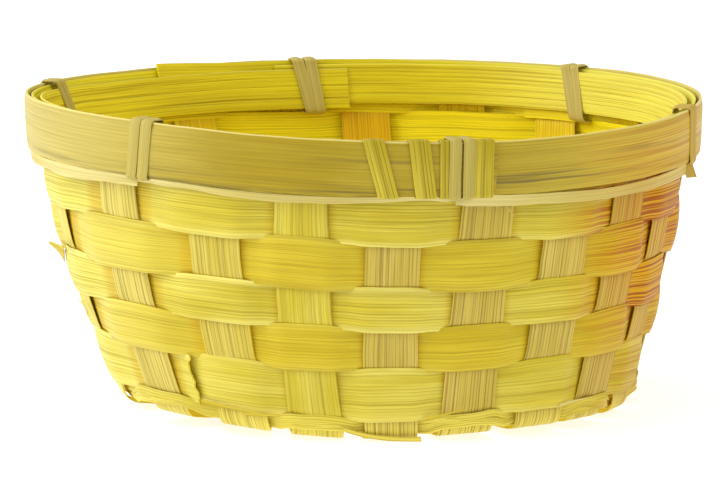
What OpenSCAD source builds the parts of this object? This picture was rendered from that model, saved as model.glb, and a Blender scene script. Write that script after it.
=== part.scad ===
// Round chip basket: a plain-woven wooden-chip bowl on a woven base, with a hooped
// bamboo rim that is lashed on at six places. Millimetres, +Z up. The origin is the
// middle of the basket on the surface that it stands on, and the front faces -Y.
// Angles round the basket start at the front and turn towards +X.

/* [Rim] */
// Outer diameter of the rim
rim_d = 240; // [232:1:248]
// Height of the rim's top edge above the surface
rim_h = 107.8; // [106.8:0.2:108.8]
// Height of the outer hoop's band
hoop_h = 18.4; // [16:0.2:19]
// Thickness of the outer hoop
hoop_t = 1.4; // [1.2:0.1:1.6]
// Height of the inner hoop's band
inner_hoop_h = 14; // [12:0.5:15]
// Thickness of the core and inner hoops
inner_hoop_t = 1.2; // [1:0.1:1.4]
// Angle at which the outer hoop's lapped end is cut, in degrees
hoop_end = 21.4; // [16:0.2:24]
// Length of the outer hoop's lap, in degrees of the rim
hoop_lap = 28; // [20:1:40]

/* [Wall] */
// Radius of the circle where the base strips turn up
base_r = 91.5; // [86:0.5:96]
// Radius gained for each millimetre of height
wall_slope = 0.25; // [0.22:0.01:0.26]
// Width of a stake
stake_w = 18; // [14:0.5:19]
// Thickness of a chip strip
chip_t = 0.8; // [0.6:0.1:0.9]
// Distance of a strip's middle from the wall's middle where strips cross
weave_a = 1.15; // [1.1:0.05:1.3]
// Height at which the stakes end inside the rim
stake_top = 101; // [98:0.5:103]

/* [Base] */
// Distance between neighbouring strips in the middle of the base
base_pitch = 20; // [19:0.5:21]
// Half of the height between the strips where they cross in the base
base_a = 1.3; // [1.2:0.05:1.5]
// Radius of the fold between the base and the wall
fold_r = 3.5; // [2.5:0.5:5]

/* [Lashing] */
// Width of the lashing strip
lash_w = 4; // [3:0.5:5]
// Thickness of the lashing strip
lash_t = 0.5; // [0.4:0.1:0.7]
// Width of the splint that binds the outer hoop's lap
binding_w = 7; // [5:0.5:8]

/* [Hand-made shape] */
// How far the base sits to the right of the rim
base_shift = 5; // [0:0.5:7]
// Turn of the base against the rim
base_twist = 3; // [0:0.2:4]
// How far the base circle bulges towards a square
base_square = 2.5; // [0:0.5:4]
// How far the wall bulges out between the base and the rim
wall_bulge = 2; // [0:0.2:3]
// How far the base's edge lifts off the surface between the four sides
base_lift = 3.2; // [0:0.2:4]

/* [Hidden] */
// Strips in each of the base's two families
STRIPS = 5;
ROWS = 6;
TIES = 6;

stakes = 4*STRIPS;
stake_pitch = 360/stakes;
// Where the hand-woven stakes stand, counted from the one nearest to the front
stake_angles = [
  5.8, 21.8, 37.7, 52.6, 67.5, 85.5, 104, 122.5, 141.2, 161.3,
  180.3, 198.1, 215, 235.5, 257.5, 272.5, 287.5, 314, 334.2, 350
];
// Edges of the weavers: the rim weaver, then the rows from the rim down to the base
row_edges = [95, 88.4, 72, 55.5, 41, 26, 8, 1.6];
row_gap = 0.6;
// Share of the stake pitch over which a weaver changes sides
ring_ramp = 0.4;
// Length over which a strip changes sides in the wall and in the base
wall_ramp = 4;
base_ramp = 5;
// Distance past the last crossing at which a strip drops to the surface
edge_drop = 17.5;
// Power with which the base strips fan out towards the edge
fan = 2.5;
// Length over which a base strip's width turns square to the rim
turn_len = 35;
// Half of the lap of a weaver's two ends, as a share of the stake pitch
weaver_lap = 0.34;
lap_gap = 0.15;
// Stake behind which each weaver's two ends lap, from the rim weaver down
lap_stakes = [8, 7, 14, 9, 10, 17, 12];
step_len = 3.2;
ring_steps = 6;
hoop_steps = 96;
// Gap between the faces of a hoop's lapped ends, and between the inner and core hoops
hoop_gap = 0.1;
layer_gap = 0.25;
// How far the core and inner hoops' top edges lie below the outer hoop's
core_drop = 0.6;
inner_drop = 1.7;
// Angles of the ties, the angle between a tie's two loops, and how far the loops stand
// off the outer hoop and over the rim
tie_angles = [15.4, 74.8, 136, 190.4, 250.4, 321];
tie_pair = 2.2;
tie_out = 0.2;
tie_over = 0.9;
// Sag of each stretch of lashing, its gap below the hoop, how far it lies inside the rim's
// outer radius, and the angle that it keeps from a tie
run_sag = [1.2, 0.6, 0.8, 0.8, 0.6, 1.4];
run_drop = 0.3;
run_in = 2.4;
run_gap = 2.6;
// Top angle, bottom angle and width of each turn of the hoop's binding
binding_turns = [
  [1.5, 5, binding_w],
  [8.2, 10.1, binding_w],
  [12.6, 13.1, binding_w - 4],
  [19, 19.2, binding_w]
];
// Rise of the rim out of its plane: turns round the rim, cosine part, sine part
rim_waves = [[1, -1, 1.2], [2, 0.85, 1.2], [3, 0.3, -0.35]];

chip_yellow = [0.96, 0.84, 0.2];
chip_pale = [0.97, 0.88, 0.36];
bamboo = [0.8, 0.68, 0.24];
binding_green = [0.86, 0.82, 0.22];
lash_khaki = [0.88, 0.8, 0.42];

rim_r = rim_d/2;
hoop_mid_r = rim_r - hoop_t/2;
hoop_mid_z = rim_h - hoop_h/2;
cone = atan(wall_slope);

// Plan direction at an angle, and the tangent there
function outward(a) = [sin(a), -cos(a), 0];
function along(a) = [cos(a), sin(a), 0];
function unit(v) = v/norm(v);
function sum(v) = v*[for (x = v) 1];
function clamp01(t) = min(max(t, 0), 1);
function smooth(t) = let (c = clamp01(t)) c*c*(3 - 2*c);
function sign_of(n) = n % 2 == 0 ? 1 : -1;

// Radius of the wall's middle surface at a height
function wall_r(z) = base_r + wall_slope*z;

// Rise of the rim out of its plane at an angle from +X towards +Y
function rim_rise(t) = sum([for (w = rim_waves) w[1]*cos(w[0]*t) + w[2]*sin(w[0]*t)]);

// Turn a vector about the basket's axis
function spin(p, a) = [p.x*cos(a) - p.y*sin(a), p.x*sin(a) + p.y*cos(a), p.z];

// Turn from a stake's place in an even ring to the place where it stands
stake_turns = [
  for (k = [0:stakes])
    [k*stake_pitch, stake_angles[k % stakes] + (k < stakes ? 0 : 360) - k*stake_pitch]
];
function hand_turn(p) =
  let (a = atan2(p.x, -p.y), share = min(norm([p.x, p.y])/base_r, 1))
  lookup(a < 0 ? a + 360 : a, stake_turns)*share*share;

// A path of the even weave, moved round to the hand-woven places
function spread(path) = [
  for (p = path) let (turn = hand_turn(p[0])) [spin(p[0], turn), spin(p[1], turn)]
];

// Share of the wall's bulge at a share of the rim's height
bulge_top = 0.85;
function bulge(f) = sin(180*clamp01(f/bulge_top));

// The hand-made shape: a shifted, turned, squared and lifted base, a bulging wall and
// a rim that is out of plane
function bend(p) =
  let (
    f = p.z/rim_h,
    low = 1 - f,
    r = norm([p.x, p.y]),
    t = r > 0 ? atan2(p.y, p.x) : 0,
    r2 = r + (wall_bulge*bulge(f) - base_square*low*cos(4*t))*pow(r/base_r, 2),
    t2 = t - base_twist*low,
    lift = base_lift*pow(low, 3)*pow(r/base_r, 4)*pow(sin(2*t), 2)*(1 - 0.4*cos(t))
  )
  [r2*cos(t2) + base_shift*low*low, r2*sin(t2), p.z + f*rim_rise(t) + lift];

// Faces of a four-cornered ribbon of n sections, closed into a ring or capped
function ribbon_faces(n, closed) = concat(
  [
    for (i = [0:n - (closed ? 1 : 2)]) for (j = [0:3])
      let (
        a = 4*i + j,
        b = 4*i + (j + 1) % 4,
        c = 4*((i + 1) % n) + (j + 1) % 4,
        d = 4*((i + 1) % n) + j
      )
      each [[a, c, b], [a, d, c]]
  ],
  closed ? [] : [[0, 1, 2], [0, 2, 3]],
  closed ? [] : let (e = 4*(n - 1)) [[e + 2, e + 1, e], [e + 3, e + 2, e]]
);

// A ribbon of even width and thickness along a path. Each path entry holds a point
// and the direction of the ribbon's width there.
module ribbon(path, w, t, closed = false) {
  n = len(path);
  ahead = [for (i = [0:n - 1]) closed ? (i + 1) % n : min(i + 1, n - 1)];
  back = [for (i = [0:n - 1]) closed ? (i + n - 1) % n : max(i - 1, 0)];
  points = [
    for (i = [0:n - 1])
      let (
        run = path[ahead[i]][0] - path[back[i]][0],
        side = path[i][1],
        face = unit(cross(run, side))
      )
      for (c = [[-1, -1], [1, -1], [1, 1], [-1, 1]])
        bend(path[i][0] + side*c[0]*w/2 + face*c[1]*t/2)
  ];
  polyhedron(points, ribbon_faces(n, closed));
}

// ---- Base strips: each one is a stake at both of its ends ----
// Each family lies along X here, its strips numbered from 0. The deep family is turned
// to lie along Y.

function strip_turn(i) = (i - (STRIPS - 1)/2)*stake_pitch;
function strip_offset(i) = (i - (STRIPS - 1)/2)*base_pitch;
function edge_x(i) = base_r*cos(strip_turn(i));

// Sideways place of a strip at a distance along it
function strip_y(i, x) =
  let (y0 = strip_offset(i), ye = base_r*sin(strip_turn(i)))
  y0 + (ye - y0)*pow(clamp01(abs(x)/edge_x(i)), fan);

// Place along strip i where strip j of the other family crosses it
function cross_x(i, j) = strip_y(j, strip_y(i, strip_y(j, strip_offset(i))));

// Over (+1) or under (-1) at each crossing, and under at both edges of the base
function base_sides(deep, i) =
  let (first = deep ? -1 : 1)
  concat([-1], [for (j = [0:STRIPS - 1]) first*sign_of(i + j)], [-1]);

// Places where a strip changes from one side to the other
function base_changes(i) =
  let (x = [for (j = [0:STRIPS - 1]) cross_x(i, j)])
  concat(
    [x[0] - edge_drop],
    [for (j = [1:STRIPS - 1]) (x[j - 1] + x[j])/2],
    [x[STRIPS - 1] + edge_drop]
  );

// Smooth change of sides along a list of places
function weave(sides, changes, ramp, x) =
  sides[0] + sum([
    for (k = [0:len(changes) - 1])
      (sides[k + 1] - sides[k])*smooth((x - changes[k])/ramp + 0.5)
  ]);

// Outside (+1) or inside (-1) of the weavers, from the bottom row up, then the middle
function wall_sides(odd) =
  concat([for (row = [ROWS:-1:0]) sign_of(row + odd)], [0]);
wall_changes = [for (row = [ROWS:-1:0]) row_edges[row]];

// Whether a strip's ends have odd places in the ring of stakes
function ends_odd(deep, i) = deep ? i % 2 : (i + 1) % 2;

function wall_point(deep, i, side, z) =
  let (
    turn = strip_turn(i),
    out = weave(wall_sides(ends_odd(deep, i)), wall_changes, wall_ramp, z),
    r = wall_r(z) + weave_a*out
  )
  [side*r*cos(turn), r*sin(turn), z + chip_t/2];

function base_point(deep, i, side, x) =
  let (over = weave(base_sides(deep, i), base_changes(i), base_ramp, side*x))
  [side*x, strip_y(i, x), chip_t/2 + base_a*(1 + over)];

function curve(a, b, c, t) = a*(1 - t)*(1 - t) + b*2*t*(1 - t) + c*t*t;

// Point of a strip at a signed distance from the middle of the base
function strip_point(deep, i, s) =
  let (side = s < 0 ? -1 : 1, d = abs(s), e = edge_x(i))
  d <= e - fold_r ? base_point(deep, i, side, d)
  : d >= e + fold_r ? wall_point(deep, i, side, d - e)
  : curve(
      base_point(deep, i, side, e - fold_r),
      wall_point(deep, i, side, 0),
      wall_point(deep, i, side, fold_r),
      (d - e + fold_r)/(2*fold_r)
    );

// Direction of the strip's width: square to the strip in the base, and along the
// rim in the wall
function strip_across(i, s) =
  let (
    side = s < 0 ? -1 : 1,
    d = abs(s),
    e = edge_x(i),
    turn = strip_turn(i),
    step = 1,
    slope = (strip_y(i, d + step) - strip_y(i, d - step))/(2*step),
    square = unit([-side*slope, 1, 0]),
    rim = [-side*sin(turn), cos(turn), 0],
    share = smooth((d - e + turn_len)/turn_len)
  )
  unit(square*(1 - share) + rim*share);

module base_strip(deep, i) {
  e = edge_x(i);
  base_n = ceil((e - fold_r)/step_len);
  wall_n = ceil((stake_top - fold_r)/step_len);
  half = concat(
    [for (k = [1:base_n]) k*(e - fold_r)/base_n],
    [for (k = [1:3]) e - fold_r + k*fold_r/2],
    [for (k = [0:wall_n]) e + fold_r + k*(stake_top - fold_r)/wall_n]
  );
  last = len(half) - 1;
  places = concat([for (k = [last:-1:0]) -half[k]], [0], half);
  turned = deep ? 90 : 0;
  path = [
    for (s = places)
      [spin(strip_point(deep, i, s), turned), spin(strip_across(i, s), turned)]
  ];
  ribbon(spread(path), stake_w, chip_t);
}

module base_strip_across(i) {
  color(chip_yellow) base_strip(false, i - 1);
}

module base_strip_deep(i) {
  color(chip_pale) base_strip(true, i - 1);
}

// ---- Weavers: one strip per row, its ends lapped behind a stake ----
// Row 0 is the rim weaver. Places are counted in stake pitches.

// Outside (+1) or inside (-1) of the stakes
function ring_side(row, u) =
  let (k = floor(u), here = -sign_of(row + k))
  here*(1 - 2*smooth((u - k - 0.5)/ring_ramp + 0.5));

function weaver_point(row, u, z) =
  let (
    end = lap_stakes[row] + stakes,
    tuck = (chip_t + lap_gap)*smooth((u - end + 0.75)/0.4),
    r = wall_r(z) + weave_a*ring_side(row, u) - tuck
  )
  outward(u*stake_pitch)*r + [0, 0, z];

module weaver(row) {
  z = (row_edges[row] + row_edges[row + 1])/2;
  h = row_edges[row] - row_edges[row + 1] - row_gap;
  start = lap_stakes[row] - weaver_lap;
  turns = stakes + 2*weaver_lap;
  n = round(turns*ring_steps);
  path = [
    for (k = [0:n])
      let (u = start + k*turns/n)
      [weaver_point(row, u, z), outward(u*stake_pitch)*sin(cone) + [0, 0, cos(cone)]]
  ];
  color(row % 2 == 0 ? chip_yellow : chip_pale)
    ribbon(spread(path), h/cos(cone), chip_t);
}

// ---- Rim ----

// A lapped hoop from one angle over a span. The head and tail values move its ends
// in or out over the lap.
module hoop(start, span, r, z, h, t, lean, head, tail) {
  n = round(hoop_steps*span/360);
  lap = span - 360;
  color(bamboo)
    ribbon(
      [
        for (k = [0:n])
          let (
            run = k*span/n,
            a = start + run,
            move = head*(1 - smooth((run - lap)/lap)) + tail*smooth((run - span + 2*lap)/lap)
          )
          [
            outward(a)*(r + move) + [0, 0, z],
            outward(a)*sin(lean) + [0, 0, cos(lean)]
          ]
      ],
      h, t
    );
}

module rim_outer_hoop() {
  hoop(
    hoop_end - hoop_lap, 360 + hoop_lap, hoop_mid_r, hoop_mid_z, hoop_h, hoop_t, 0,
    0, hoop_t + hoop_gap
  );
}

core_low = row_edges[0] + wall_ramp/2 + row_gap;
core_h = rim_h - core_drop - core_low;
core_mid_z = core_low + core_h/2;
core_mid_r = wall_r(core_mid_z) - (chip_t + inner_hoop_t)/2 - lap_gap;
core_start = 222;
inner_start = 183.3;
inner_lap = 14;

module rim_core_hoop() {
  hoop(
    core_start - inner_lap, 360 + inner_lap, core_mid_r, core_mid_z, core_h,
    inner_hoop_t, cone, 0, -inner_hoop_t - hoop_gap
  );
}

inner_mid_z = rim_h - inner_drop - inner_hoop_h/2;
inner_mid_r = core_mid_r + wall_slope*(inner_mid_z - core_mid_z) - 2*(inner_hoop_t + layer_gap);

module rim_inner_hoop() {
  hoop(
    inner_start, 360 + inner_lap, inner_mid_r, inner_mid_z, inner_hoop_h,
    inner_hoop_t, cone, -inner_hoop_t - hoop_gap, 0
  );
}

// Rounded loop round the rim between two radii and two heights. The outer leg leans
// from one angle at the top to another at the bottom.
corner = 0.8;
corner_steps = 3;
function loop_path(top, bottom, r_in, r_out, z_low, z_high, in_slope) =
  let (
    // centre of each corner, and the angle at which its arc starts
    corners = [
      [r_out - corner, z_high - corner, 90],
      [r_out - corner, z_low + corner, 0],
      [r_in + corner, z_low + corner, -90],
      [r_in + corner + in_slope*(z_high - z_low), z_high - corner, -180]
    ]
  )
  [
    for (c = corners) for (k = [0:corner_steps])
      let (
        t = c[2] - 90*k/corner_steps,
        r = c[0] + corner*cos(t),
        z = c[1] + corner*sin(t),
        a = bottom + (top - bottom)*(z - z_low)/(z_high - z_low)
      )
      [outward(a)*r + [0, 0, z], along(a)]
  ];

// Gap of the binding inside the hoop, outside its lap, and over and under it
binding_in = 0.25;
binding_out = 0.3;
binding_over = 0.2;
module hoop_binding() {
  color(binding_green)
    for (b = binding_turns)
      ribbon(
        loop_path(
          b[0], b[1], rim_r - hoop_t - binding_in - lash_t/2,
          rim_r + hoop_t + binding_out + lash_t/2,
          rim_h - hoop_h - binding_over - lash_t/2, rim_h + binding_over + lash_t/2, 0
        ),
        b[2], lash_t, closed = true
      );
}

// The first tie also holds the hoop's lap and its binding, and the fourth the inner
// hoop's lap
tie_low = row_edges[1];
tie_in_gap = 0.3;
tie_in_r =
  inner_mid_r - inner_hoop_t/2 - lash_t/2 - tie_in_gap - wall_slope*(inner_mid_z - tie_low);
module lashing_tie(i) {
  over_binding = i == 1 ? hoop_t + 2*lash_t : 0;
  over_binding_z = i == 1 ? 0.3 : 0;
  over_inner_lap = i == 4 ? inner_hoop_t + 2*hoop_gap : 0;
  color(lash_khaki)
    for (side = [-1, 1])
      let (a = tie_angles[i - 1] + side*tie_pair/2)
      ribbon(
        loop_path(
          a, a, tie_in_r - over_inner_lap, rim_r + tie_out + lash_t/2 + over_binding,
          tie_low, rim_h + tie_over + over_binding_z, wall_slope
        ),
        lash_w, lash_t, closed = true
      );
}

run_r = rim_r - run_in;
run_steps = 14;
module lashing_run(i) {
  a0 = tie_angles[i - 1] + run_gap;
  a1 = (i < TIES ? tie_angles[i] : tie_angles[0] + 360) - run_gap;
  color(lash_khaki)
    ribbon(
      [
        for (k = [0:run_steps])
          let (
            t = k/run_steps,
            a = a0 + (a1 - a0)*t,
            z = rim_h - hoop_h - run_drop - lash_w/2 - run_sag[i - 1]*sin(180*t)
          )
          [outward(a)*run_r + [0, 0, z], [0, 0, 1]]
      ],
      lash_w, lash_t
    );
}

for (i = [1:STRIPS])
  base_strip_across(i);
for (i = [1:STRIPS])
  base_strip_deep(i);
for (i = [1:ROWS])
  weaver(i);
weaver(0);  // rim_weaver
rim_outer_hoop();
rim_core_hoop();
rim_inner_hoop();
hoop_binding();
for (i = [1:TIES])
  lashing_tie(i);
for (i = [1:TIES])
  lashing_run(i);
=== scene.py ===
"""The looks of the easter basket: every chip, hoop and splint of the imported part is
replaced by a detailed strip that follows the same path. Paths are worked out in design
millimetres, as in the part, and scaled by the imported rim. Angles round the basket start
at the front and turn towards +X."""
import math

import bpy
import numpy as np
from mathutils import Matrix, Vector


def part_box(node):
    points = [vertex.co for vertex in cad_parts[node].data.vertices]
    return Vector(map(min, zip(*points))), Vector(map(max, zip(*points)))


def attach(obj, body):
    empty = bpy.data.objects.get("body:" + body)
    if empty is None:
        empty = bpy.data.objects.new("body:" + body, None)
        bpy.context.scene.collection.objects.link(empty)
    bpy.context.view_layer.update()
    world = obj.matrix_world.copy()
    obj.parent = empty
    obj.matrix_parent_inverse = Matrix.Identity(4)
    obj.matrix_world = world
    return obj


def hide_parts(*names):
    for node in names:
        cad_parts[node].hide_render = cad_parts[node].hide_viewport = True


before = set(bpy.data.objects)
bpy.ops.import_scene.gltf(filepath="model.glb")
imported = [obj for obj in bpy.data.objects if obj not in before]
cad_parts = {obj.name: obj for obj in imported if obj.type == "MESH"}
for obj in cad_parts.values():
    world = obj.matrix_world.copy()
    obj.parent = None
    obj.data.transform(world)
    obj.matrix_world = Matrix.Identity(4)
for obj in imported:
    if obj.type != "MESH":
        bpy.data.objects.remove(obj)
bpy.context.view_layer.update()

# ---- Design sizes, in millimetres and degrees ----
hoop_low, hoop_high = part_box("rim_outer_hoop")
RIM_R, RIM_H = 120.0, 107.8
MM = (hoop_high.x - hoop_low.x)/(2*RIM_R)    # metres in one design millimetre

# The hoops: height and thickness, the angles and laps of their ends, and how far they
# stand below the rim, above the top row and off each other
HOOP_H, HOOP_T = 18.4, 1.4
HOOP_END, HOOP_LAP, HOOP_GAP = 21.4, 28.0, 0.1
INNER_H, INNER_T = 15.0, 1.2
CORE_END, INNER_START, INNER_LAP = 222, 183.3, 14
CORE_DROP, CORE_CLEAR = 0.6, 2.6
INNER_DROP, LAYER_GAP = 1.2, 0.25

# The wall and its stakes, which are the ends of the base's strips
BASE_R, SLOPE = 91.5, 0.25
CONE = math.atan(SLOPE)
STAKE_W, STAKE_TOP = 18.0, 101.0
CHIP_T, CAD_CHIP_T = 0.55, 0.8
STRIPS = 5
STAKES = 4*STRIPS
PITCH = 360/STAKES
STAKE_ANGLES = [5.8, 21.8, 37.7, 52.6, 67.5, 85.5, 104, 122.5, 141.2, 161.3,
                180.3, 198.1, 215, 235.5, 257.5, 272.5, 287.5, 314, 334.2, 350]

# The base: how its strips lie, fan out and fold up
BASE_PITCH, FOLD_R = 20.0, 3.5
EDGE_DROP, FAN, TURN_LEN = 17.5, 2.5, 35.0

# The weave: heights of the rows' edges from the top, how far a strip stands off the
# middle of the weave (in the base, a stake, a weaver outside and a weaver inside), the
# length over which it changes sides, and where and by how much each row's ends lap
ROW_EDGES = [95, 88.4, 72, 55.5, 41, 26, 8, 1.6]
ROWS = len(ROW_EDGES) - 2
BASE_A, STAKE_A, WEAVER_A, BEHIND_A = 1.3, 0.7, 1.6, 0.8
WALL_RAMP, BASE_RAMP, RING_RAMP = 5.0, 5.0, 0.5
WEAVER_LAP, LAP_GAP = 0.34, 0.15
LAP_STAKES = [8, 7, 14, 9, 10, 17, 12]

# The hand-made shape
BASE_SHIFT, BASE_TWIST, BASE_SQUARE, BASE_LIFT = 5.0, 3.0, 2.5, 3.2
WALL_BULGE, BULGE_TOP = 2.0, 0.85
RIM_WAVES = [(1, -1.0, 1.2), (2, 0.85, 1.2), (3, 0.3, -0.35)]

# The lashing and the binding of the outer hoop's lap
TIE_ANGLES = [15.4, 74.8, 136, 190.4, 250.4, 321]
TIE_PAIR = 2.2
LASH_W, LASH_T = 4.0, 0.6
TIE_INSIDE, TIE_OUTSIDE, TIE_ABOVE, TIE_CORNER = 0.6, 0.45, 0.9, 1.6
BINDING_W, BINDING_GAP, BINDING_OVER = 7.0, 0.25, 0.5


# ---- Vector helpers, on arrays of points ----
def stack(x, y, z):
    return np.stack(np.broadcast_arrays(x, y, z), axis=-1).astype(float)


def unit(v):
    return v/np.maximum(np.linalg.norm(v, axis=-1, keepdims=True), 1e-9)


def smooth(t):
    c = np.clip(t, 0, 1)
    return c*c*(3 - 2*c)


def along(a):
    a = np.radians(a)
    return stack(np.cos(a), np.sin(a), 0)


def ring_points(a, r, z):
    """Points at angles, radii and heights round the basket."""
    a = np.radians(a)
    return stack(r*np.sin(a), -r*np.cos(a), z)


def leaning(a, lean):
    """Width directions that lean outward from upright by an angle in radians."""
    return ring_points(a, np.sin(lean), np.cos(lean))


def sign_of(n):
    return 1 if n % 2 == 0 else -1


def wobble(x, seed, length):
    """A smooth random curve of about unit height along x."""
    rng = np.random.default_rng(seed)
    total = np.zeros_like(np.asarray(x, float))
    for octave in range(4):
        waves = length/(1.7**octave)*rng.uniform(0.8, 1.25)
        total += np.sin(2*np.pi*np.asarray(x)/waves + rng.uniform(0, 2*np.pi))/(1.5**octave)
    return total/2


STAKE_TURNS = [a - k*PITCH for k, a in enumerate(STAKE_ANGLES)] + [STAKE_ANGLES[0]]


def hand_turn(p):
    """Turn, in degrees, from the even weave to the places of the hand-woven stakes."""
    a = np.degrees(np.arctan2(p[..., 0], -p[..., 1])) % 360
    share = np.minimum(np.hypot(p[..., 0], p[..., 1])/BASE_R, 1)
    return np.interp(a, np.arange(STAKES + 1)*PITCH, STAKE_TURNS)*share**2


def turned_by(p, degrees):
    c, s = np.cos(np.radians(degrees)), np.sin(np.radians(degrees))
    return stack(p[..., 0]*c - p[..., 1]*s, p[..., 0]*s + p[..., 1]*c, p[..., 2])


def spread(path, across):
    """Turns a path of the even weave, and its width directions, to its hand-woven place."""
    turn = hand_turn(path)
    return turned_by(path, turn), turned_by(across, turn)


def bend(p):
    """The hand-made shape: a shifted, turned, squared and lifted base, a bulging wall
    and a rim out of plane."""
    f = p[..., 2]/RIM_H
    low = 1 - f
    r = np.hypot(p[..., 0], p[..., 1])
    t = np.arctan2(p[..., 1], p[..., 0])
    bulge = WALL_BULGE*np.sin(np.pi*np.clip(f/BULGE_TOP, 0, 1))
    r2 = r + (bulge - BASE_SQUARE*low*np.cos(4*t))*(r/BASE_R)**2
    t2 = t - math.radians(BASE_TWIST)*low
    rise = sum(c*np.cos(k*t) + s*np.sin(k*t) for k, c, s in RIM_WAVES)
    corner = np.sin(2*t)**2*(1 - 0.4*np.cos(t))
    lift = BASE_LIFT*np.clip(low, 0, 2)**3*(r/BASE_R)**4*corner
    return stack(r2*np.cos(t2) + BASE_SHIFT*low**2, r2*np.sin(t2), p[..., 2] + f*rise + lift)


def wall_r(z):
    return BASE_R + SLOPE*z


def weave(sides, changes, ramp, x):
    """A height that goes from one side to the next at each change, over a ramp."""
    total = np.full_like(np.asarray(x, float), sides[0])
    for k, place in enumerate(changes):
        total += (sides[k + 1] - sides[k])*smooth((x - place)/ramp + 0.5)
    return total


# ---- Strips as meshes ----
# Even and varying share of a groove's depth, and the length of its variation
GROOVE_EVEN, GROOVE_VARIES, GROOVE_WAVE = 0.7, 0.3, 90
# Wave lengths of the ragged long edges and of a torn end
EDGE_WAVE, JAG_WAVE = 38, 14
# How much thinner a strip is at its long edges, and how close to them it thins
EDGE_ROUND, EDGE_POWER = 0.45, 12
UV_UNIT = 0.001    # a strip's UVs are its design sizes in metres


def groove_lines(half_w, spacing, seed):
    """Cross-section places of a grooved strip and how deep each one is."""
    rng = np.random.default_rng(seed)
    places, depths = [-half_w], [0.0]
    v = -half_w + spacing*rng.uniform(0.5, 1)
    while v < half_w - 0.4*spacing:
        depth = rng.uniform(0.4, 1)
        side = min(0.24*spacing, 0.27)
        places += [v - side, v, v + side]
        depths += [0.0, depth, 0.0]
        v += spacing*rng.uniform(0.72, 1.28)
    places.append(half_w)
    depths.append(0.0)
    order = np.argsort(places)
    return np.array(places)[order], np.array(depths)[order]


def strip_quads(n, m, closed):
    """Faces of a strip of n sections with m points on top and m below: its top and
    bottom, its long edges, and its ends unless it is closed into a ring."""
    grid = np.arange(n*m).reshape(n, m)
    if closed:
        grid = np.vstack([grid, grid[:1]])
    a, b = grid[:-1, :-1].ravel(), grid[:-1, 1:].ravel()
    c, d = grid[1:, 1:].ravel(), grid[1:, :-1].ravel()
    below = n*m
    quads = [np.stack([a, d, c, b], 1), np.stack([a, b, c, d], 1) + below]
    borders = [(grid[:-1, 0], grid[1:, 0], False), (grid[:-1, -1], grid[1:, -1], True)]
    if not closed:
        borders += [(grid[0, :-1], grid[0, 1:], True), (grid[-1, :-1], grid[-1, 1:], False)]
    for first, last, flip in borders:
        border = [first, first + below, last + below, last]
        quads.append(np.stack(border[::-1] if flip else border, 1))
    return np.concatenate(quads)


def strip_uvs(mesh, s, v, length):
    """UVs along and across a strip. A closed strip has a length, and its last faces go
    on past its end instead of back to its start."""
    places = np.stack(np.broadcast_arrays(s[:, None], v[None, :]), -1).reshape(-1, 2)
    corners = np.zeros(len(mesh.loops), dtype=np.int32)
    mesh.loops.foreach_get("vertex_index", corners)
    uvs = np.concatenate([places, places])[corners].reshape(-1, 4, 2)
    if length:
        run = uvs[:, :, 0]
        wraps = run.max(1) - run.min(1) > length/2
        uvs[wraps, :, 0] = np.where(run[wraps] < length/2, run[wraps] + length, run[wraps])
    return (uvs*UV_UNIT).astype(np.float32).ravel()


def strip_mesh(name, path, across, half_w, thick, material, spacing=1.6, relief=0.12,
               seed=0, lift=None, closed=False, edge=0.015, widths=None, inner="bottom",
               torn=0.0, tucked=None):
    """A grooved strip along a path. lift(s, v) moves it off its path; widths scales
    its half width along the path; inner names the face that is inside the basket;
    torn is how far its last end is jagged; tucked is 1 where it goes behind another."""
    n = len(path)
    if closed:
        run = np.roll(path, -1, axis=0) - np.roll(path, 1, axis=0)
    else:
        run = np.gradient(path, axis=0)
    face = unit(np.cross(run, across))
    s = np.concatenate([[0], np.cumsum(np.linalg.norm(np.diff(path, axis=0), axis=1))])
    v, depth = groove_lines(half_w, spacing, seed)
    m = len(v)
    side = v[None, :]/half_w
    scale = np.ones(n) if widths is None else np.asarray(widths)
    ragged = 1 + edge*wobble(s, seed + 11, EDGE_WAVE)
    offset = v[None, :]*(scale*ragged)[:, None]
    fade = [GROOVE_EVEN + GROOVE_VARIES*wobble(s + 40*k, seed + 100 + k, GROOVE_WAVE)
            for k in range(m)]
    groove = depth[None, :]*np.clip(np.stack(fade, axis=1), 0, 1)
    centre = path[:, None, :] + across[:, None, :]*offset[..., None]
    if torn:
        jags = wobble(v, seed + 61, JAG_WAVE) + 0.3*v/half_w
        centre[-1] += unit(run[-1])*(torn*jags)[:, None]
    rise = 0 if lift is None else lift(s[:, None], side)
    body = thick/2*(1 - EDGE_ROUND*np.abs(side)**EDGE_POWER)
    top = centre + face[:, None, :]*(rise + body - relief*groove)[..., None]
    bottom = centre + face[:, None, :]*(rise - body + relief*groove)[..., None]
    points = bend(np.concatenate([top.reshape(-1, 3), bottom.reshape(-1, 3)]))
    mesh = bpy.data.meshes.new(name)
    mesh.from_pydata((points*MM).tolist(), [], strip_quads(n, m, closed).tolist())
    length = s[-1] + np.linalg.norm(path[0] - path[-1]) if closed else 0
    mesh.uv_layers.new(name="strip").data.foreach_set("uv", strip_uvs(mesh, s, v, length))
    inside_top = np.full(n*m, 1.0 if inner == "top" else 0.0)
    behind = np.zeros(n) if tucked is None else tucked
    marks = {"groove": np.tile(groove.ravel(), 2),
             "inside": np.concatenate([inside_top, 1 - inside_top]),
             "margin": np.tile(side.ravel(), 2*n),
             "tucked": np.tile(np.repeat(behind, m), 2)}
    for key, values in marks.items():
        mark = mesh.attributes.new(key, "FLOAT", "POINT")
        mark.data.foreach_set("value", values.astype(np.float32))
    mesh.materials.append(material)
    mesh.shade_smooth()
    mesh.set_sharp_from_angle(angle=math.radians(55))
    obj = bpy.data.objects.new(name, mesh)
    bpy.context.collection.objects.link(obj)
    return obj


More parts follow.
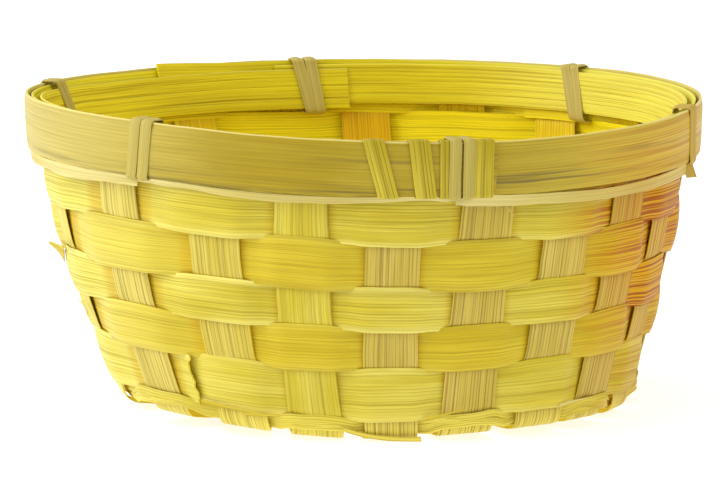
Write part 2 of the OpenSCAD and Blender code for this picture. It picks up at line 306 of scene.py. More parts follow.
def place(obj, slot, *nodes):
    """Hangs a piece under the root body and lets it stand for its CAD nodes, which it hides. slot
    is not used.
    """
    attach(obj, "root")
    if nodes:
        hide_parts(*nodes)


# ---- Materials ----
# Chip and bamboo colours: pale patches, the rest, and the dark of grooves and lines
LEMON = dict(pale=(0.71, 0.605, 0.085), base=(0.61, 0.49, 0.031), dark=(0.36, 0.27, 0.015))
GOLD = dict(pale=(0.65, 0.51, 0.030), base=(0.58, 0.435, 0.014), dark=(0.34, 0.23, 0.01))
TAN = dict(pale=(0.66, 0.51, 0.105), base=(0.56, 0.42, 0.062), dark=(0.25, 0.17, 0.03))
STRAW = dict(pale=(0.66, 0.53, 0.09), base=(0.60, 0.46, 0.05), dark=(0.30, 0.22, 0.03))
BAMBOO = dict(pale=(0.46, 0.34, 0.028), base=(0.38, 0.27, 0.012), dark=(0.22, 0.16, 0.02))
KHAKI = dict(pale=(0.59, 0.49, 0.13), base=(0.50, 0.40, 0.085), dark=(0.30, 0.22, 0.05))
CREAM = dict(pale=(0.70, 0.60, 0.22), base=(0.60, 0.49, 0.13), dark=(0.40, 0.31, 0.07))
LIME = dict(pale=(0.62, 0.50, 0.05), base=(0.44, 0.335, 0.010), dark=(0.27, 0.20, 0.01))
INNER = dict(pale=(0.75, 0.64, 0.010), base=(0.66, 0.535, 0.006), dark=(0.38, 0.28, 0.003))
# Faces that are inside the basket: painted light, a brighter and more saturated glow as of light
# shining through the thin chips, and on the hoop a painted lift of its shaded inner face
INSIDE_WEAVER_GLOW, INSIDE_HOOP_LIGHT = (0.94, 0.79, 0.008), (0.74, 0.64, 0.15)
INSIDE_STAKE_GLOW, INSIDE_PALE_GLOW = (0.80, 0.49, 0.003), (0.86, 0.64, 0.006)
# Painted light: paler, brighter colours towards the left and the right of the basket, where the
# light falls stronger
LEFT_PAINTED_LIGHT = ((0.80, 0.72, 0.15), None)
BAMBOO_SIDE_LIGHT = ((0.62, 0.53, 0.15), (0.67, 0.52, 0.075))
INNER_SIDE_LIGHT = ((0.96, 0.84, 0.02), (0.86, 0.79, 0.12))
# Stains and dirt; then painted light and shade: warm shade where a strip is tucked behind another,
# light on the foot, highlights on the long edges and on the top edges
AMBER, RUST, SMOKE = (0.66, 0.345, 0.0), (0.38, 0.095, 0.0), (0.13, 0.10, 0.03)
TUCKED_SHADE, FOOT_LIGHT, EDGE_HIGHLIGHT = (0.62, 0.39, 0.003), (0.95, 0.80, 0.13), (0.84, 0.76, 0.22)
BAMBOO_TOP_HIGHLIGHT, INNER_TOP_HIGHLIGHT = (0.80, 0.68, 0.20), (0.84, 0.76, 0.12)

# Places on the basket, in metres, between which a stain, a side's painted light or the foot's
# painted light comes in
LEFT_X, RIGHT_X = (-0.035, -0.115), (0.03, 0.095)
STAIN_X, STAIN_Y, STAIN_Z = (0.060, 0.102), (0.02, -0.03), (0.0, 0.07)
FOOT_Z = (0.014, 0.002)

# Repeats of the noises to the metre, along and across a strip
FIBRES, BLOTCHES = (18, 2600), (20, 110)
LINES_ALONG = 5.5
STREAKS, STREAK_PATCHES = (13, 520), (9, 60)
STAIN_PATCHES, STAIN_LINES = (14, 130), (7, 1500)
SHEEN, RELIEF = 0.18, 0.00025    # the relief of the fibres is in metres


class Graph:
    """A node tree being built. A value is a number, a colour or another node's socket."""

    def __init__(self, tree):
        self.nodes, self.links = tree.nodes, tree.links

    def add(self, kind, **settings):
        node = self.nodes.new("ShaderNode" + kind)
        for key, value in settings.items():
            setattr(node, key, value)
        return node

    def feed(self, socket, value):
        if isinstance(value, bpy.types.NodeSocket):
            self.links.new(value, socket)
        elif socket.type == "RGBA":
            socket.default_value = (*value, 1)
        else:
            socket.default_value = value

    def mix(self, factor, first, second, mode="MIX"):
        node = self.add("Mix", data_type="RGBA", blend_type=mode)
        # of the node's sockets, a colour mix uses these
        for index, value in ((0, factor), (6, first), (7, second)):
            self.feed(node.inputs[index], value)
        return node.outputs[2]

    def remap(self, value, low, high, to_low=0.0, to_high=1.0):
        """A smooth step from to_low, at low, to to_high, at high."""
        node = self.add("MapRange", interpolation_type="SMOOTHSTEP")
        for key, number in (("Value", value), ("From Min", low), ("From Max", high),
                            ("To Min", to_low), ("To Max", to_high)):
            self.feed(node.inputs[key], number)
        return node.outputs["Result"]

    def calc(self, operation, *values):
        node = self.add("Math", operation=operation)
        for socket, value in zip(node.inputs, values):
            self.feed(socket, value)
        return node.outputs[0]

    def noise(self, coords, scale, detail, seed):
        """Noise that is drawn out along the strip: scale is (along, across)."""
        mapping = self.add("Mapping")
        for key, value in (("Vector", coords), ("Scale", (*scale, 1)),
                           ("Location", (seed*3.7, seed*1.3, seed*0.71))):
            self.feed(mapping.inputs[key], value)
        noise = self.add("TexNoise")
        for key, value in (("Vector", mapping.outputs[0]), ("Scale", 1.0),
                           ("Detail", detail), ("Roughness", 0.55)):
            self.feed(noise.inputs[key], value)
        return noise.outputs["Fac"]

    def mark(self, name):
        """A value that strip_mesh has written on the mesh."""
        return self.add("Attribute", attribute_name=name).outputs["Fac"]

    def position(self):
        """X, Y and Z on the basket, in metres."""
        split = self.add("SeparateXYZ")
        self.feed(split.inputs[0], self.add("TexCoord").outputs["Object"])
        return split.outputs

    def surface(self, values):
        shader = self.add("BsdfPrincipled")
        for key, value in values.items():
            self.feed(shader.inputs[key], value)
        self.feed(self.add("OutputMaterial").inputs["Surface"], shader.outputs[0])


def new_material(name):
    material = bpy.data.materials.new(name)
    material.use_nodes = True
    material.node_tree.nodes.clear()
    return material, Graph(material.node_tree)


def orange_stain(graph, coords, colour, seed, amount):
    """The dye that has run down the front right of the basket."""
    x, y, z = graph.position()
    here = graph.remap(x, *STAIN_X)
    for part in (graph.remap(y, *STAIN_Y), graph.remap(z, *STAIN_Z, 0.4, 1.15), amount):
        here = graph.calc("MULTIPLY", here, part)
    patches = graph.noise(coords, STAIN_PATCHES, 2, seed + 37)
    wash = graph.calc("MULTIPLY", here, graph.remap(patches, 0.3, 0.6, 0.45, 0.95))
    colour = graph.mix(wash, colour, AMBER)
    drips = graph.noise(coords, STAIN_LINES, 3, seed + 33)
    lines = graph.calc("MULTIPLY", here, graph.remap(drips, 0.54, 0.43, 0, 0.9))
    return graph.mix(lines, colour, RUST)


def painted_side_light(graph, colour, left_colour, right_colour):
    """Painted light: a surface that is paler and brighter towards the left and the right, where
    the light falls stronger.
    """
    x = graph.position()[0]
    if left_colour:
        colour = graph.mix(graph.remap(x, *LEFT_X, 0, 0.62), colour, left_colour)
    if right_colour:
        colour = graph.mix(graph.remap(x, *RIGHT_X, 0, 0.6), colour, right_colour)
    return colour


def painted_foot_light(graph, colour):
    """Painted light: the fold at the foot, which faces the floor, coloured paler as if lit."""
    z = graph.position()[2]
    return graph.mix(graph.remap(z, *FOOT_Z, 0, 0.65), colour, FOOT_LIGHT)


def streaks(graph, coords, colour, seed, amount, tint):
    """Dark streaks in patches along a strip."""
    lines = graph.noise(coords, STREAKS, 5, seed + 21)
    patches = graph.noise(coords, STREAK_PATCHES, 2, seed + 27)
    share = graph.calc("MULTIPLY", graph.remap(lines, 0.48, 0.66),
                       graph.remap(patches, 0.49, 0.60, 0, amount))
    return graph.mix(share, colour, tint)


def chip_material(name, pale, base, dark, seed=0, line=0.7, rough=0.5, stain=1.0, smoke=0.0,
                  bump=0.5, inner=None, rim=0.0, across=1150, cut=(0.08, 0.7),
                  sides=(None, None), top_highlight=None, rust=0.0, crevice_shade=0.0):
    """Wood chip: fibre lines along the strip, grooves, painted highlights on the long edges and
    the top edge, painted warm shade where the strip is tucked behind another, painted light
    towards the sides and at the foot, a painted glow on the inside face, streaks and a dye
    stain. line is how dark the lines are, across how fine, and cut how deep a groove is
    where its colour starts and is full."""
    material, graph = new_material(name)
    coords = graph.add("UVMap", uv_map="strip").outputs[0]
    fine = graph.noise(coords, FIBRES, 2, seed)
    lines = graph.noise(coords, (LINES_ALONG, across), 3, seed + 5)
    blotch = graph.noise(coords, BLOTCHES, 3, seed + 9)
    colour = graph.mix(graph.remap(blotch, 0.33, 0.7), base, pale)
    colour = painted_foot_light(graph, painted_side_light(graph, colour, *sides))
    # painted shade: warm amber darkening beside the stakes, where the strip is tucked behind them
    if crevice_shade:
        colour = graph.mix(graph.remap(graph.mark("tucked"), 0.5, 1.0, 0, crevice_shade), colour, TUCKED_SHADE)
    marks = graph.calc("MAXIMUM", graph.calc("MULTIPLY", graph.remap(lines, 0.46, 0.38), 0.75),
                       graph.remap(graph.mark("groove"), *cut))
    colour = graph.mix(graph.calc("MULTIPLY", marks, line), colour, dark)
    # painted highlight: pale cream on the long edges, where the bulging strip catches the light
    if rim:
        edges = graph.remap(graph.calc("ABSOLUTE", graph.mark("margin")), 0.62, 1.0)
        margin = graph.calc("MULTIPLY", edges, graph.remap(blotch, 0.3, 0.6, 0, rim))
        colour = graph.mix(margin, colour, EDGE_HIGHLIGHT)
    # painted glow on the inside face, as of light shining through the chip
    if inner:
        inside = graph.mix(marks, inner, tuple(0.7*c for c in inner))
        colour = graph.mix(graph.mark("inside"), colour, inside)
    fibres = graph.remap(fine, 0.3, 0.7, 0.86, 1.10)
    tint = graph.add("CombineColor")
    for socket in tint.inputs[:3]:
        graph.feed(socket, fibres)
    colour = graph.mix(1.0, colour, tint.outputs[0], "MULTIPLY")
    if smoke:
        colour = streaks(graph, coords, colour, seed, smoke, SMOKE)
    if rust:
        colour = streaks(graph, coords, colour, seed, rust, RUST)
    if stain:
        colour = orange_stain(graph, coords, colour, seed, stain)
    # painted highlight: the top edge is coloured pale, as if it catches the light
    if top_highlight:
        top_highlight_mask = graph.remap(graph.mark("margin"), 0.93, 0.99, 0, 0.85)
        colour = graph.mix(top_highlight_mask, colour, top_highlight)
    relief = graph.add("Bump")
    height = graph.calc("ADD", graph.calc("MULTIPLY", fine, 0.35), lines)
    for key, value in (("Strength", bump), ("Distance", RELIEF), ("Height", height)):
        graph.feed(relief.inputs[key], value)
    graph.surface({"Base Color": colour, "Specular IOR Level": SHEEN, "Normal": relief.outputs[0],
                   "Roughness": graph.remap(lines, 0.3, 0.7, rough + 0.1, rough - 0.08)})
    return material


# ---- Base strips, each a stake at both ends ----
STAKE_STEP = 1.8    # distance between a strip's sections
# How far a stake's edges follow the round of the wall, and the height where this starts
# and over which it comes in
STAKE_ROUND, ROUND_FROM, ROUND_OVER = 0.42, 4, 8


def strip_turn(i):
    return (i - (STRIPS - 1)/2)*PITCH


def strip_offset(i):
    return (i - (STRIPS - 1)/2)*BASE_PITCH


def edge_x(i):
    return BASE_R*math.cos(math.radians(strip_turn(i)))


def strip_y(i, x):
    y0 = strip_offset(i)
    ye = BASE_R*math.sin(math.radians(strip_turn(i)))
    return y0 + (ye - y0)*np.clip(np.abs(x)/edge_x(i), 0, 1)**FAN


def base_sides(deep, i):
    first = -1 if deep else 1
    return [-1] + [first*sign_of(i + j) for j in range(STRIPS)] + [-1]


def base_changes(i):
    x = [float(strip_y(j, strip_y(i, strip_y(j, strip_offset(i))))) for j in range(STRIPS)]
    middles = [(p + q)/2 for p, q in zip(x, x[1:])]
    return [x[0] - EDGE_DROP] + middles + [x[-1] + EDGE_DROP]


def wall_sides(odd):
    return [sign_of(row + odd) for row in range(ROWS, -1, -1)] + [0]


WALL_CHANGES = [ROW_EDGES[row] for row in range(ROWS, -1, -1)]


def wall_points(deep, i, side, z):
    turn = math.radians(strip_turn(i))
    odd = i % 2 if deep else (i + 1) % 2
    r = wall_r(z) + STAKE_A*weave(wall_sides(odd), WALL_CHANGES, WALL_RAMP, z)
    return stack(side*r*math.cos(turn), r*math.sin(turn), z + CAD_CHIP_T/2)


def base_points(deep, i, side, x):
    over = weave(base_sides(deep, i), base_changes(i), BASE_RAMP, side*x)
    return stack(side*x, strip_y(i, x), CAD_CHIP_T/2 + BASE_A*(1 + over))


def half_strip(deep, i, side, step):
    """Points and width directions from the middle of the base up to the rim."""
    e = edge_x(i)
    turn = math.radians(strip_turn(i))
    flat = np.linspace(0, e - FOLD_R, max(int((e - FOLD_R)/step), 8))
    t = np.linspace(0, 1, 7)[1:-1][:, None]
    a = base_points(deep, i, side, np.array([e - FOLD_R]))
    b = wall_points(deep, i, side, np.array([0.0]))
    c = wall_points(deep, i, side, np.array([FOLD_R]))
    fold = a*(1 - t)**2 + b*2*t*(1 - t) + c*t**2
    high = np.linspace(FOLD_R, STAKE_TOP, int((STAKE_TOP - FOLD_R)/step))
    points = np.concatenate([base_points(deep, i, side, flat), fold,
                             wall_points(deep, i, side, high)])
    d = np.concatenate([flat, np.linspace(e - FOLD_R, e + FOLD_R, 7)[1:-1], e + high])
    slope = (strip_y(i, d + 1) - strip_y(i, d - 1))/2
    square = unit(stack(-side*slope, 1, 0))
    rim = stack(-side*math.sin(turn), math.cos(turn), 0)
    share = smooth((d - e + TURN_LEN)/TURN_LEN)[:, None]
    return points, unit(square*(1 - share) + rim*share)


def base_strip(deep, i, name, node, material, seed):
    right, right_w = half_strip(deep, i, 1, STAKE_STEP)
    left, left_w = half_strip(deep, i, -1, STAKE_STEP)
    turned = 90 if deep else 0
    path = turned_by(np.concatenate([left[::-1], right[1:]]), turned)
    across = turned_by(np.concatenate([left_w[::-1], right_w[1:]]), turned)
    path, across = spread(path, across)
    wall = smooth((path[:, 2:3] - ROUND_FROM)/ROUND_OVER)

    def round_the_wall(s, v):
        return wall*STAKE_ROUND*v**2

    strip = strip_mesh(name, path, across, STAKE_W/2, CHIP_T, material, spacing=1.3,
                       relief=0.16, seed=seed, lift=round_the_wall, edge=0.02, inner="top")
    place(strip, "stake_chip", node)


STAKE_LOOKS = {"deep_3": TAN, "deep_2": TAN, "deep_1": TAN, "across_1": TAN, "deep_4": LEMON}
ORANGE_INSIDE = ("deep_3", "across_4")

for family in ("across", "deep"):
    for i in range(STRIPS):
        key = f"{family}_{i + 1}"
        seed = 10*i + (3 if family == "deep" else 0)
        # the stakes' inside faces get a painted glow, more orange on two of them
        inside = INSIDE_STAKE_GLOW if key in ORANGE_INSIDE else INSIDE_PALE_GLOW
        paint = chip_material(f"chip_{key}", **STAKE_LOOKS.get(key, STRAW), seed=seed, line=0.76,
                              stain=0.7, inner=inside, across=1100, cut=(0.05, 0.6),
                              sides=LEFT_PAINTED_LIGHT)
        base_strip(family == "deep", i, f"chip_{key}", f"base_strip_{key}", paint, seed)


# ---- Weavers ----
# The row whose end is torn and by how many stakes it passes its start, the golden rows,
# and the rows with the most stain
TORN_ROW, TORN_LAP = 5, 0.9
GOLD_ROWS, STAINED_ROWS = (2, 4), (1, 3)
WEAVER_LEAN, WEAVER_PUFF, WEAVER_CURL = 0.75*CONE, 0.7, 0.9
WEAVER_STEPS, SPLINT_STEPS = 15, 16    # sections to a stake
# Splints of the lowest row: height over its middle, width, and phase of the twist; then
# how far they climb outside the stakes, and their least height
SPLINTS = ((1.5, 2.6, 0.0), (-0.2, 2.8, 1.9), (-1.6, 2.2, 4.1))
SPLINT_CLIMB, SPLINT_LOW = 1.7, 1.4


def ring_side(row, u):
    """1 where a row's strip is outside the stakes and -1 where it is inside; u counts
    stakes from the front."""
    k = np.floor(u)
    here = np.where((row + k) % 2 == 0, -1.0, 1.0)
    return here*(1 - 2*smooth((u - k - 0.5)/RING_RAMP + 0.5))


def weaver(row, material, seed):
    z = (ROW_EDGES[row] + ROW_EDGES[row + 1])/2
    h = ROW_EDGES[row] - ROW_EDGES[row + 1]
    # the torn end comes out from behind its stake and lies over the strip's start
    over = row == TORN_ROW
    start = LAP_STAKES[row] - WEAVER_LAP
    turns = STAKES + (TORN_LAP if over else 2*WEAVER_LAP)
    u = start + np.linspace(0, turns, int(turns*WEAVER_STEPS))
    a = u*PITCH
    side = ring_side(row, u)
    end = start + STAKES
    at_lap = 1 - smooth((u - start - 0.9)/0.6) if over else smooth((u - end + 0.4)/0.4)
    tuck = (CAD_CHIP_T + LAP_GAP)*at_lap
    puff = np.clip(side, 0, 1)**2
    tucked = np.clip(-side, 0, 1)
    r = wall_r(z) + np.where(side > 0, WEAVER_A, BEHIND_A)*side + WEAVER_PUFF*puff - tuck
    zz = z + 0.5*wobble(u*28, seed + 3, 120)
    path, across = spread(ring_points(a, r, zz), leaning(a, WEAVER_LEAN))

    def curl(s, v):
        loose = np.clip(1 - (s.max() - s)/8, 0, 1)**2*(1.3 + 0.5*v)*over
        return loose - (0.25 + 0.75*puff[:, None])*WEAVER_CURL*v**2

    strip = strip_mesh(f"weaver_{row}", path, across, (h/math.cos(CONE) + 1.3)/2, CHIP_T,
                       material, spacing=1.3, relief=0.09, seed=seed, lift=curl,
                       widths=0.965 + 0.06*puff, edge=0.012, torn=1.1*over, tucked=tucked)
    place(strip, "weaver_chip", f"weaver_row_{row}" if row else "rim_weaver")


for row in range(ROWS):
    gold = row in GOLD_ROWS
    # each weaver gets painted warm shade where tucked, painted highlights on its edges, painted
    # side light and a painted glow inside
    paint = chip_material(f"weave_{row}", **(GOLD if gold else LEMON), seed=50 + row, crevice_shade=0.6,
                          inner=INSIDE_WEAVER_GLOW, sides=LEFT_PAINTED_LIGHT, line=0.45 if gold else 0.68,
                          rim=0.1 if gold else 0.5, stain=1.5 if row in STAINED_ROWS else 1.0)
    weaver(row, paint, 200 + 7*row)


def bottom_splints():
    """The lowest row: a bundle of narrow splints that twist round each other."""
    paint = chip_material("splint_bottom", **LEMON, seed=77, line=0.7, rust=0.75, sides=LEFT_PAINTED_LIGHT)
    row = ROWS
    pieces = []
    for k, (dz, width, phase) in enumerate(SPLINTS):
        u = LAP_STAKES[row] + 0.37*k + np.linspace(0, STAKES*0.985, STAKES*SPLINT_STEPS)
        a = u*PITCH
        side = ring_side(row, u)
        z = (ROW_EDGES[row] + ROW_EDGES[row + 1])/2 + dz + 0.7*wobble(u*26, 400 + k, 60)
        z = z + SPLINT_CLIMB*np.clip(side, 0, 1)
        r = wall_r(z) + WEAVER_A*side*1.05 + 0.35*wobble(u*26, 410 + k, 50)
        twist = 0.5*wobble(u*26, 420 + k, 55) + 0.2*np.sin(phase + u)
        path, across = spread(ring_points(a, r, np.maximum(z, SPLINT_LOW)), leaning(a, twist))
        pieces.append(strip_mesh(f"splint_bottom_{k + 1}", path, across, width/2, 0.6, paint,
                                 spacing=0.9, relief=0.08, seed=430 + k, edge=0.12))
    place(pieces[0], "weaver_chip", "weaver_row_6")
    for piece in pieces[1:]:
        place(piece, "weaver_chip")


bottom_splints()


# ---- Rim ----
def hoop(name, node, slot, material, start, span, r, z, h, t, lean, head, tail, seed,
         spacing, relief, lift=None, rise=None):
    """A band round the rim. Its ends lap: head and tail are how far each one stands off
    in radius, and rise(run) is how far the band has climbed at an angle from its start."""
    run = np.linspace(0, span, int(span*1.4))
    lap = span - 360
    a = start + run
    move = head*(1 - smooth((run - lap)/lap)) + tail*smooth((run - span + 2*lap)/lap)
    zz = z + 0.15*wobble(run, seed, 70) + (0 if rise is None else rise(run))
    band = strip_mesh(name, ring_points(a, r + move, zz), leaning(a, lean), h/2, t, material,
                      spacing=spacing, relief=relief, seed=seed, lift=lift, edge=0.006)
    place(band, slot, node)


# the outer hoop gets painted side light, a painted lift of its inner face and a painted highlight
# on its top edge
bamboo_paint = chip_material("bamboo_outer", **BAMBOO, seed=3, line=0.13, rough=0.42,
                             stain=0.4, smoke=0.7, bump=0.2, sides=BAMBOO_SIDE_LIGHT,
                             inner=INSIDE_HOOP_LIGHT, top_highlight=BAMBOO_TOP_HIGHLIGHT)
hoop("hoop_outer", "rim_outer_hoop", "outer_bamboo", bamboo_paint, HOOP_END - HOOP_LAP,
     360 + HOOP_LAP, RIM_R - HOOP_T/2, RIM_H - HOOP_H/2, HOOP_H, HOOP_T, 0,
     0, HOOP_T + HOOP_GAP, 301, 5.5, 0.05, lift=lambda s, v: -0.25*v**4)
core_low = ROW_EDGES[0] + CORE_CLEAR
core_h = RIM_H - CORE_DROP - core_low
core_z = core_low + core_h/2
core_r = wall_r(core_z) - (CAD_CHIP_T + INNER_T)/2 - LAP_GAP
inner_z = RIM_H - INNER_DROP - INNER_H/2
inner_r = core_r + SLOPE*(inner_z - core_z) - 2*(INNER_T + LAYER_GAP)
# the inner hoops get painted side light and a painted highlight on their top edge
inner_paint = chip_material("bamboo_inner", **INNER, seed=8, line=0.85, stain=0.0,
                            sides=INNER_SIDE_LIGHT, top_highlight=INNER_TOP_HIGHLIGHT)
hoop("hoop_core", "rim_core_hoop", "inner_bamboo", inner_paint, CORE_END - INNER_LAP,
     360 + INNER_LAP, core_r, core_z, core_h, INNER_T, CONE,
     0, -INNER_T - HOOP_GAP, 311, 1.8, 0.14,
     rise=lambda run: 0.7*smooth((run - 280)/60) + 2.0*smooth((run - 352)/26))
hoop("hoop_inner", "rim_inner_hoop", "inner_bamboo", inner_paint, INNER_START,
     360 + INNER_LAP, inner_r, inner_z, INNER_H, INNER_T, CONE,
     -INNER_T - HOOP_GAP, 0, 317, 1.7, 0.16,
     rise=lambda run: -1.7*(1 - smooth((run - 40)/60)))


def loop_path(top, bottom, r_in, r_out, z_low, z_high, in_slope, corner=1.0, steps=5):
    """A rounded loop round the rim and the direction of its width."""
    corners = ((r_out - corner, z_high - corner, 90), (r_out - corner, z_low + corner, 0),
               (r_in + corner, z_low + corner, -90),
               (r_in + corner + in_slope*(z_high - z_low), z_high - corner, -180))
    rz = []
    for cr, cz, first in corners:
        for k in range(steps + 1):
            t = math.radians(first - 90*k/steps)
            rz.append((cr + corner*math.cos(t), cz + corner*math.sin(t)))
    fine = []
    for (r0, z0), (r1, z1) in zip(rz, rz[1:] + rz[:1]):
        parts = max(1, int(math.hypot(r1 - r0, z1 - z0)/1.2))
        fine += [(r0 + (r1 - r0)*k/parts, z0 + (z1 - z0)*k/parts) for k in range(parts)]
    r, z = np.array(fine).T
    a = bottom + (top - bottom)*(z - z_low)/(z_high - z_low)
    return ring_points(a, r, z), along(a)


lime_paint = chip_material("splint_binding", **LIME, seed=14, line=0.9, stain=0)
# Turns of the binding: angle at the top and at the bottom, and width
BINDING_TURNS = [(1.5, 4.3, BINDING_W), (8.6, 10.2, BINDING_W), (12.6, 13.1, BINDING_W - 4),
                 (19.0, 19.2, BINDING_W)]
binding_off = HOOP_T + BINDING_GAP + LASH_T/2
for k, (top, bottom, width) in enumerate(BINDING_TURNS):
    path, across = loop_path(top, bottom, RIM_R - binding_off, RIM_R + binding_off,
                             RIM_H - HOOP_H - BINDING_OVER, RIM_H + BINDING_OVER, 0)
    turn = strip_mesh(f"binding_{k + 1}", path, across, width/2, LASH_T, lime_paint, spacing=1.5,
                      relief=0.16, seed=500 + k, closed=True, edge=0.02)
    place(turn, "binding_splint", *(["hoop_binding"] if k == 0 else []))

khaki_paint = chip_material("splint_lashing", **KHAKI, seed=17, line=0.35, stain=0.2, bump=0.3)
cream_paint = chip_material("splint_run", **CREAM, seed=19, line=0.3, stain=0.3, bump=0.3)
tie_low = ROW_EDGES[1]
tie_in = inner_r - INNER_T/2 - TIE_INSIDE - SLOPE*(inner_z - tie_low)
# How far each tie's top and bottom stand off its angle, how far its loops spread at the
# top and at the bottom, and how wide its splint is
TIE_LEANS = [(0, 0.3, 1.0, 1.0, 1.0), (-3.0, -2.6, 1.0, 0.9, 1.0), (1.6, -2.0, 1.0, 0.75, 1.0),
             (1.2, -0.1, 1.15, 0.75, 1.12), (3.6, 2.0, 1.0, 0.85, 1.0),
             (1.0, 0.7, 1.05, 1.05, 1.1)]
for k, angle in enumerate(TIE_ANGLES):
    # one tie goes over the outer hoop's lap, and one over the inner hoop's
    over, over_z = (HOOP_T + 1, 0.3) if k == 0 else (0, 0)
    inner_lap = INNER_T + 0.2 if k == 3 else 0
    top_lean, low_lean, top_share, low_share, wide = TIE_LEANS[k]
    for side in (-1, 1):
        gap = side*TIE_PAIR/2
        top, bottom = angle + top_lean + gap*top_share, angle + low_lean + gap*low_share
        path, across = loop_path(top, bottom, tie_in - inner_lap, RIM_R + TIE_OUTSIDE + over,
                                 tie_low, RIM_H + TIE_ABOVE + over_z, SLOPE, corner=TIE_CORNER)
        loop = strip_mesh(f"tie_{k + 1}_{'left' if side < 0 else 'right'}", path, across,
                          LASH_W*wide/2, LASH_T, khaki_paint, spacing=2.2, relief=0.05,
                          seed=600 + 2*k + side, closed=True, edge=0.03,
                          lift=lambda s, v: -0.3*v**2)
        place(loop, "lashing_splint", *([f"lashing_tie_{k + 1}"] if side < 0 else []))

# The lashing runs on from tie to tie under the hoop. For each run: how far it sags, how
# wide it is, how it turns its face up, and the least share of its width that shows
RUNS = [(1.3, 1.05, 0.2, 0.8), (0.3, 0.7, 0.2, 0.6), (0.6, 0.8, 0.3, 0.6),
        (0.6, 0.8, -0.3, 0.6), (0.35, 1.15, 0.35, 0.75), (1.1, 0.75, 0.5, 0.6)]
for k, (sag, wide, twist, least) in enumerate(RUNS):
    a0, a1 = TIE_ANGLES[k], (TIE_ANGLES + [TIE_ANGLES[0] + 360])[k + 1]
    t = np.linspace(0, 1, int((a1 - a0)*1.5))
    a = a0 + (a1 - a0)*t
    ends = smooth(np.minimum(t, 1 - t)*(a1 - a0)/3)
    turn = twist*(1 + wobble(t*(a1 - a0), 710 + k, 60))*ends
    share = least + (1 - least)*ends*np.clip(0.6 + 0.6*wobble(t*(a1 - a0), 720 + k, 45), 0.3, 1)
    z = RIM_H - HOOP_H - 0.1 - LASH_W*wide/2*share*np.cos(turn) - sag*ends*np.sin(np.pi*t)**2
    strand = strip_mesh(f"lash_{k + 1}", ring_points(a, RIM_R - 2.0 - 0.6*(1 - ends), z),
                        leaning(a, turn), LASH_W*wide/2, LASH_T, cream_paint, spacing=2.2,
                        relief=0.05, seed=700 + k, edge=0.06, widths=share)
    place(strand, "lashing_splint", f"lashing_run_{k + 1}")


def tie_tail():
    """The cut end of the splint, which hangs below the right tie."""
    a = TIE_ANGLES[1] + TIE_LEANS[1][1] - 1.5
    t = np.linspace(0, 1, 9)
    path = ring_points(a, RIM_R - 1.5 + 1.2*t, tie_low + 1 - 5.4*t)
    across = np.broadcast_to(along(a - 45), path.shape)
    tail = strip_mesh("tie_2_tail", path, across, LASH_W/2, LASH_T, khaki_paint, spacing=1.5,
                      relief=0.05, seed=640, edge=0.08)
    place(tail, "lashing_splint")


tie_tail()


# ---- Torn fibres and loose ends ----
FIBRE_STEPS = 14


def fibre(name, a, z, length, slope, width, out, paint, curl=0.0):
    """A loose sliver that lifts off the wall at an angle and a height. slope is its
    direction in radians, out how far its tip stands off, and curl how much it turns."""
    t = np.linspace(0, 1, FIBRE_STEPS)
    turn = slope + curl*t
    reach = np.cumsum(np.cos(turn))*length/FIBRE_STEPS
    rise = np.cumsum(np.sin(turn))*length/FIBRE_STEPS
    r = wall_r(z) + WEAVER_A + 1.2 + out*t**2
    path = ring_points(a + np.degrees(reach/wall_r(z)), r, z + rise)
    across = stack(0, 0, np.cos(turn)) - np.sin(turn)[:, None]*along(a)
    sliver = strip_mesh(name, path, across, width/2, 0.35, paint, spacing=1.2, relief=0.03,
                        seed=int(a*7) % 97, edge=0.06, widths=1 - 0.8*t)
    place(sliver, "weaver_chip")


sliver_paint = chip_material("sliver", **CREAM, seed=23, line=0.4, stain=0.0)
gold_sliver = chip_material("sliver_gold", **GOLD, seed=29, line=0.6, stain=0.0)
tan_sliver = chip_material("sliver_tan", **TAN, seed=31, line=0.3, stain=0.0)
# Of each: angle, height, length, slope, width and how far its tip stands off
fibre("sliver_stake", 24.2, 85.8, 5.5, -1.0, 1.5, 0.6, tan_sliver)
fibre("sliver_left_1", 286, 52.5, 18, 3.0, 5.0, 4.2, gold_sliver)
fibre("sliver_left_2", 287, 57, 15, 0.1, 2.2, 1.5, gold_sliver, -0.25)
fibre("sliver_left_3", 292, 33, 12, 2.7, 1.6, 1.0, sliver_paint, 0.3)
fibre("sliver_low_1", 325, 8.5, 24, -0.06, 1.5, 0.8, gold_sliver, 0.06)
fibre("sliver_low_2", 12, 8.0, 14, 0.12, 1.3, 1.6, gold_sliver, 0.15)
fibre("sliver_low_3", 41, 7.5, 12, 0.2, 1.5, 1.4, sliver_paint, -0.1)
fibre("sliver_low_4", 335, 6.5, 14, 0.05, 1.5, 1.3, gold_sliver, 0.12)


def flat_end():
    """The end of a splint that lies flat in front of the middle stake."""
    t = np.linspace(0, 1, 20)
    a = -5 + 17*t
    z = 0.6 + 4.2*(1 - t)**3 + 0.3*np.sin(4*t)
    across = unit(stack(0*t, -0.6, 0.8))
    end = strip_mesh("flat_end", ring_points(a, 93.8 + 0.2*t, z), across, 1.15, 0.5, gold_sliver,
                     spacing=1.0, relief=0.05, seed=90, edge=0.15)
    place(end, "weaver_chip")


flat_end()


# ---- Floor, light and camera ----
FLOOR_SIZE, FLOOR_DROP = 16, 0.0003    # metres
FLOOR_GREY, FLOOR_GLOW = 0.5, 0.7


def floor():
    bpy.ops.mesh.primitive_plane_add(size=FLOOR_SIZE, location=(0, 0, -FLOOR_DROP))
    plane = bpy.context.object
    plane.name = "floor"
    material, graph = new_material("floor_white")
    graph.surface({"Base Color": (FLOOR_GREY,)*3, "Roughness": 0.9, "Specular IOR Level": 0.1,
                   "Emission Color": (1, 1, 1), "Emission Strength": FLOOR_GLOW})
    plane.data.materials.append(material)


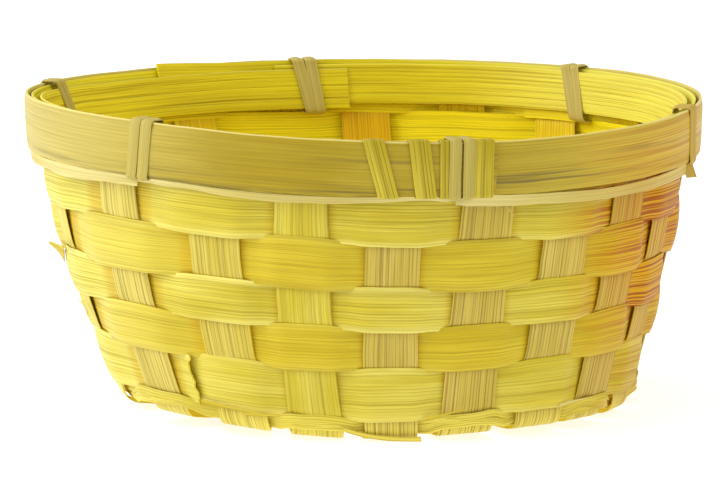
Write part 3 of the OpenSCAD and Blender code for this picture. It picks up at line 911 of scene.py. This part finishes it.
def softbox(name, at, aim, size, power):
    data = bpy.data.lights.new(name, "AREA")
    data.shape = "RECTANGLE"
    data.size, data.size_y = size
    data.energy = power
    light = bpy.data.objects.new(name, data)
    light.location = at
    light.rotation_euler = (Vector(aim) - Vector(at)).to_track_quat("-Z", "Y").to_euler()
    bpy.context.collection.objects.link(light)


# Lobes of the tent's light: direction, strength and colour, over an even base
TENT_BASE = 0.14
TENT_LOBES = (((-0.76, 0.12, 0.64), 1.2, (1, 1, 1.1)), ((0.80, -0.30, 0.52), 0.85, (1, 0.96, 0.8)))
KEY_POWER = 5.0


def studio():
    """A white tent that is brighter to the upper left and right, and a soft key."""
    world = bpy.data.worlds.new("studio")
    world.use_nodes = True
    graph = Graph(world.node_tree)
    toward = graph.add("TexCoord").outputs["Generated"]
    light = (TENT_BASE,)*3
    for direction, power, colour in TENT_LOBES:
        facing = graph.add("VectorMath", operation="DOT_PRODUCT")
        graph.feed(facing.inputs[0], toward)
        graph.feed(facing.inputs[1], direction)
        lobe = graph.remap(facing.outputs["Value"], 0.0, 1.0, 0.0, power)
        total = graph.add("VectorMath", operation="MULTIPLY_ADD")
        for socket, value in zip(total.inputs, (lobe, colour, light)):
            graph.feed(socket, value)
        light = total.outputs[0]
    graph.feed(graph.nodes["Background"].inputs["Color"], light)
    bpy.context.scene.world = world
    softbox("key_left", (-1.0, -0.25, 0.55), (0, 0, 0.06), (0.8, 0.8), KEY_POWER)
    bpy.context.scene.view_settings.view_transform = "Standard"


# Distance and aim in design millimetres, tilt in degrees, and the focal length and the
# shift as multiples of the picture's width
CAMERA_FAR, CAMERA_TILT, AIM_HEIGHT = 1500.0, 8.373, 50.0
FIELD_LENGTH, SHIFT_X, SHIFT_Y = 5.8458, -0.00496, 0.01721


def camera():
    data = bpy.data.cameras.new("camera")
    data.sensor_width = 36
    data.lens = FIELD_LENGTH*data.sensor_width
    data.shift_x, data.shift_y = SHIFT_X, SHIFT_Y
    data.clip_end = 50
    obj = bpy.data.objects.new("camera", data)
    tilt = math.radians(CAMERA_TILT)
    obj.location = (0, -CAMERA_FAR*MM*math.cos(tilt),
                    AIM_HEIGHT*MM + CAMERA_FAR*MM*math.sin(tilt))
    obj.rotation_euler = (math.pi/2 - tilt, 0, 0)
    bpy.context.collection.objects.link(obj)
    bpy.context.scene.camera = obj


floor()
studio()
camera()
